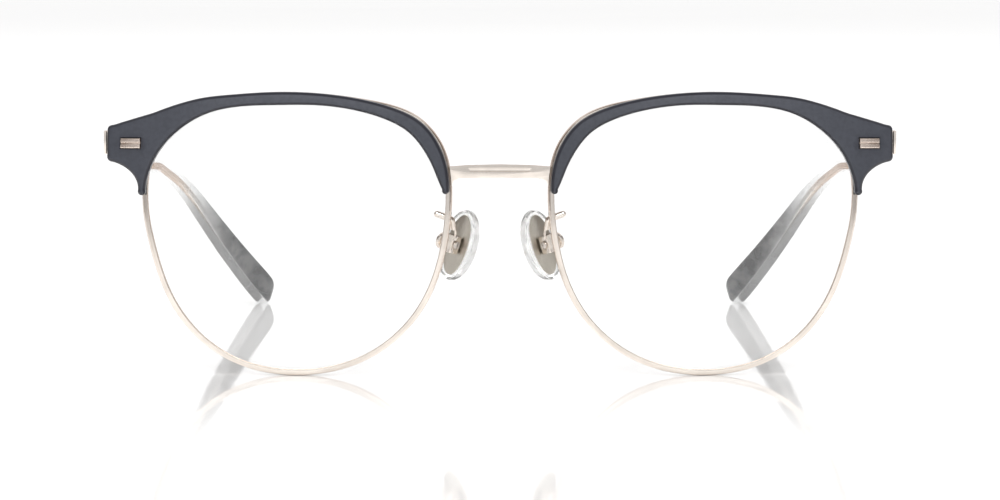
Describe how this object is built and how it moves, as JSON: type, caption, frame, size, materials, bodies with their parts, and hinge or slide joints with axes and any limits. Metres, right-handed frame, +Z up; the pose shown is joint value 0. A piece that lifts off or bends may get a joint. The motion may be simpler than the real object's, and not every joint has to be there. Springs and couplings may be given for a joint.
{
  "type": "browline eyeglasses",
  "caption": "Browline eyeglasses with thin metal rims, dark acetate brow covers, adjustable nose pads and folding temples with clear-to-smoke acetate tips.",
  "frame": {"origin": "on the ground under the middle of the open glasses: centre of the box in X and Y, lowest point in Z", "axes": "+X to the wearer's left, -Y the way the front faces, +Y along the open temples, +Z up"},
  "size_m": [0.138, 0.1441, 0.0493],
  "materials": {
    "frame_metal": "polished, champagne plated",
    "screw_steel": "polished",
    "plaque_metal": "satin",
    "insert_metal": "polished",
    "lens_clear": "clear, coated",
    "brow_acetate": "satin tumbled acetate, dark slate",
    "tip_acetate": "clear to smoke, polished acetate",
    "pad_silicone": "clear silicone, glossy"
  },
  "bodies": {
    "front": {"bridge": "frame_metal", "rim_left": "frame_metal", "lens_left": "lens_clear", "closing_block_upper_left": "frame_metal", "closing_block_lower_left": "frame_metal", "lock_screw_left": "screw_steel", "brow_left": "brow_acetate", "brow_plaque_left": "plaque_metal", "brow_screws_left": "screw_steel", "endpiece_left": "frame_metal", "pad_arm_left": "frame_metal", "hinge_front_left": "frame_metal", "hinge_screw_left": "screw_steel", "pad_box_left": "frame_metal", "pad_screw_left": "screw_steel", "rim_right": "frame_metal", "lens_right": "lens_clear", "closing_block_upper_right": "frame_metal", "closing_block_lower_right": "frame_metal", "lock_screw_right": "screw_steel", "brow_right": "brow_acetate", "brow_plaque_right": "plaque_metal", "brow_screws_right": "screw_steel", "endpiece_right": "frame_metal", "pad_arm_right": "frame_metal", "hinge_front_right": "frame_metal", "hinge_screw_right": "screw_steel", "pad_box_right": "frame_metal", "pad_screw_right": "screw_steel"},
    "temple_left": {"temple_arm_left": "frame_metal", "temple_tip_left": "tip_acetate", "hinge_temple_left": "frame_metal"},
    "pad_left": {"nose_pad_left": "pad_silicone", "pad_insert_left": "insert_metal"},
    "temple_right": {"temple_arm_right": "frame_metal", "temple_tip_right": "tip_acetate", "hinge_temple_right": "frame_metal"},
    "pad_right": {"nose_pad_right": "pad_silicone", "pad_insert_right": "insert_metal"}
  },
  "joints": [
    {"name": "temple_fold_left", "type": "hinge", "parent": "front", "child": "temple_left", "pos_m": [0.06617, -0.05797, 0.0398], "axis": [0, 0.1221, 0.9925], "range_deg": [0, 84]},
    {"name": "temple_fold_right", "type": "hinge", "parent": "front", "child": "temple_right", "pos_m": [-0.06617, -0.05797, 0.0398], "axis": [0, -0.1221, -0.9925], "range_deg": [0, 72]},
    {"name": "pad_rock_left", "type": "hinge", "parent": "front", "child": "pad_left", "pos_m": [0.00854, -0.06372, 0.0226], "axis": [0.7107, 0.6691, 0.2173], "range_deg": [-8, 8]},
    {"name": "pad_rock_right", "type": "hinge", "parent": "front", "child": "pad_right", "pos_m": [-0.00854, -0.06372, 0.0226], "axis": [-0.7107, 0.6691, 0.2173], "range_deg": [-8, 8]}
  ]
}
